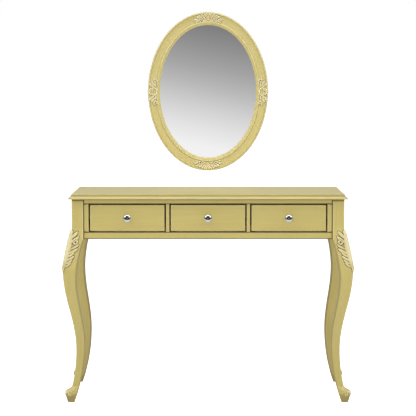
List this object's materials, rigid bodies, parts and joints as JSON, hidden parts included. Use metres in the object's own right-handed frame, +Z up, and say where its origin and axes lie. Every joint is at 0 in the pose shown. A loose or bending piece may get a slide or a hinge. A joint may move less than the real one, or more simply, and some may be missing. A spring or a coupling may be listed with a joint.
{
  "type": "vanity table with mirror",
  "caption": "Dressing table on cabriole legs with carved knees and a row of drawers in the frieze, with a matching oval framed mirror that hangs on the wall above it.",
  "frame": {"origin": "on the floor, under the middle of the whole outline: the front knees and the wall are its front and back", "axes": "+X to the sitter's right, +Y from the sitter towards the wall, +Z up"},
  "size_m": [1.061, 0.45, 1.432],
  "materials": {
    "champagne_paint": "satin champagne-gold lacquer on wood, faint brush streaks, roughness about 0.4",
    "leaf_paint": "satin champagne-gold lacquer with rubbed highlights on carving",
    "frame_paint": "satin pale gold lacquer on a moulded frame",
    "raw_wood": "plain sanded wood",
    "hardboard": "brown hardboard",
    "chrome": "polished",
    "steel": "zinc-plated",
    "silvering": "silvered glass",
    "felt": "dark felt pad"
  },
  "bodies": {
    "table": {"table_top": "champagne_paint", "front_top_rail": "champagne_paint", "front_bottom_rail": "champagne_paint", "end_stile_left": "champagne_paint", "divider_stile_left": "champagne_paint", "divider_stile_right": "champagne_paint", "end_stile_right": "champagne_paint", "side_apron_left": "champagne_paint", "side_apron_right": "champagne_paint", "back_apron": "champagne_paint", "runner_outer_left": "raw_wood", "runner_inner_left": "raw_wood", "runner_inner_right": "raw_wood", "runner_outer_right": "raw_wood", "leg_front_left": "champagne_paint", "knee_leaf_front_left": "leaf_paint", "corner_block_front_left": "raw_wood", "leg_front_right": "champagne_paint", "knee_leaf_front_right": "leaf_paint", "corner_block_front_right": "raw_wood", "leg_rear_left": "champagne_paint", "knee_leaf_rear_left": "leaf_paint", "corner_block_rear_left": "raw_wood", "leg_rear_right": "champagne_paint", "knee_leaf_rear_right": "leaf_paint", "corner_block_rear_right": "raw_wood", "wall_hanger_bar": "steel"},
    "drawer_left": {"drawer_left_front": "champagne_paint", "drawer_left_side_left": "raw_wood", "drawer_left_side_right": "raw_wood", "drawer_left_back": "raw_wood", "drawer_left_bottom": "raw_wood", "drawer_left_knob": "chrome", "drawer_left_knob_screw": "steel"},
    "drawer_centre": {"drawer_centre_front": "champagne_paint", "drawer_centre_side_left": "raw_wood", "drawer_centre_side_right": "raw_wood", "drawer_centre_back": "raw_wood", "drawer_centre_bottom": "raw_wood", "drawer_centre_knob": "chrome", "drawer_centre_knob_screw": "steel"},
    "drawer_right": {"drawer_right_front": "champagne_paint", "drawer_right_side_left": "raw_wood", "drawer_right_side_right": "raw_wood", "drawer_right_back": "raw_wood", "drawer_right_bottom": "raw_wood", "drawer_right_knob": "chrome", "drawer_right_knob_screw": "steel"},
    "mirror": {"mirror_frame": "frame_paint", "mirror_glass": "silvering", "mirror_backing": "hardboard", "mirror_crest_top": "frame_paint", "mirror_crest_bottom": "frame_paint", "mirror_crest_left": "frame_paint", "mirror_crest_right": "frame_paint", "mirror_hanger_bar": "steel", "mirror_bumper_left": "felt", "mirror_bumper_right": "felt"}
  },
  "joints": [
    {"name": "drawer_left_slide", "type": "slide", "parent": "table", "child": "drawer_left", "axis": [0, -1, 0], "range_m": [0, 0.22]},
    {"name": "drawer_centre_slide", "type": "slide", "parent": "table", "child": "drawer_centre", "axis": [0, -1, 0], "range_m": [0, 0.22]},
    {"name": "drawer_right_slide", "type": "slide", "parent": "table", "child": "drawer_right", "axis": [0, -1, 0], "range_m": [0, 0.22]},
    {"name": "mirror_lift", "type": "slide", "parent": "table", "child": "mirror", "axis": [0, 0, 1], "range_m": [0, 0.03]}
  ]
}
